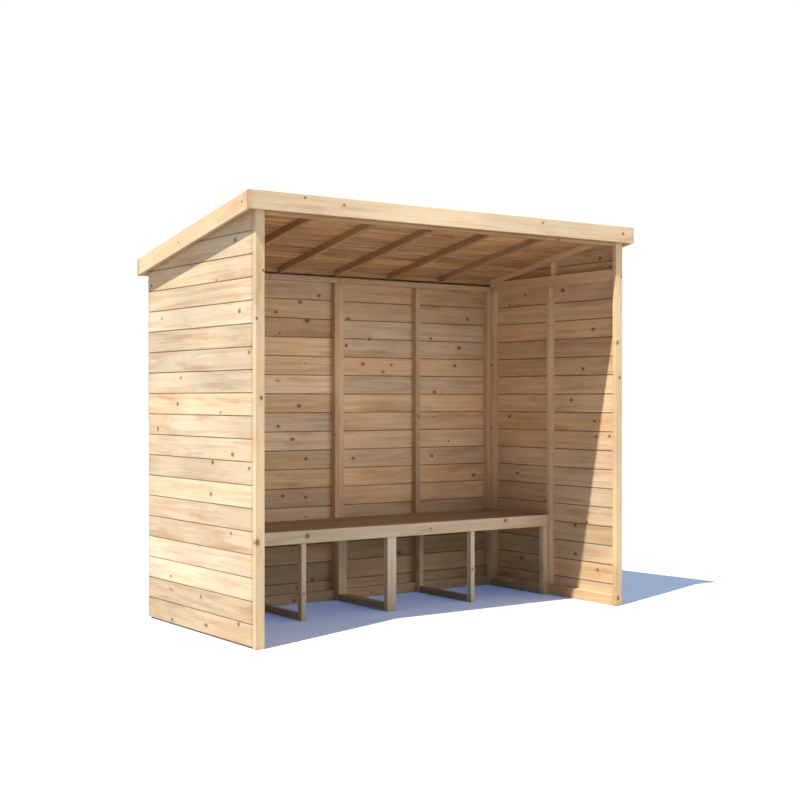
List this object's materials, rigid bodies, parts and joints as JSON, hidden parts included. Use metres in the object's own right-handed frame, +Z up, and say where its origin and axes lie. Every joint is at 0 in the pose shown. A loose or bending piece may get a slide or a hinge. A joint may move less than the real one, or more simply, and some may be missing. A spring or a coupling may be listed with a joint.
{
  "type": "garden arbor",
  "caption": "Open-fronted timber garden arbor with boarded side and back walls, a lean-to roof and a full-width bench.",
  "frame": {"origin": "on the ground, at the centre of the box around the whole arbor", "axes": "+X along the open front to the right of someone who faces the arbor, +Y from the open front to the back wall, +Z up"},
  "size_m": [2.512, 1.236, 2.1685],
  "materials": {
    "wall_boards": "planed, unpainted",
    "frame_timber": "planed, unpainted",
    "front_timber": "planed, unpainted",
    "roof_boards": "planed, unpainted",
    "seat_boards": "planed, unpainted",
    "roof_felt": "mineral grit"
  },
  "bodies": {
    "root": {"left_wall_boards": "wall_boards", "left_front_post": "front_timber", "left_wall_studs": "frame_timber", "left_wall_rails": "frame_timber", "left_gable_sill": "frame_timber", "left_gable_rail": "frame_timber", "left_corner_post": "frame_timber", "right_wall_boards": "wall_boards", "right_front_post": "front_timber", "right_wall_studs": "frame_timber", "right_wall_rails": "frame_timber", "right_gable_sill": "frame_timber", "right_gable_rail": "frame_timber", "right_corner_post": "frame_timber", "back_left_boards": "wall_boards", "back_left_studs": "frame_timber", "back_left_rails": "frame_timber", "back_right_boards": "wall_boards", "back_right_studs": "frame_timber", "back_right_rails": "frame_timber", "front_header": "front_timber", "roof_front_rail": "frame_timber", "roof_rear_rail": "frame_timber", "rafter_1": "frame_timber", "rafter_2": "frame_timber", "rafter_3": "frame_timber", "rafter_4": "frame_timber", "rafter_5": "frame_timber", "front_batten": "frame_timber", "left_batten": "frame_timber", "right_batten": "frame_timber", "roof_boards": "roof_boards", "roof_felt": "roof_felt", "front_fascia": "front_timber", "rear_fascia": "front_timber", "left_fascia": "front_timber", "right_fascia": "front_timber", "bench_seat": "seat_boards", "bench_front_board": "front_timber", "bench_left_legs": "frame_timber", "bench_left_rails": "frame_timber", "bench_right_legs": "frame_timber", "bench_right_rails": "frame_timber"}
  },
  "joints": []
}
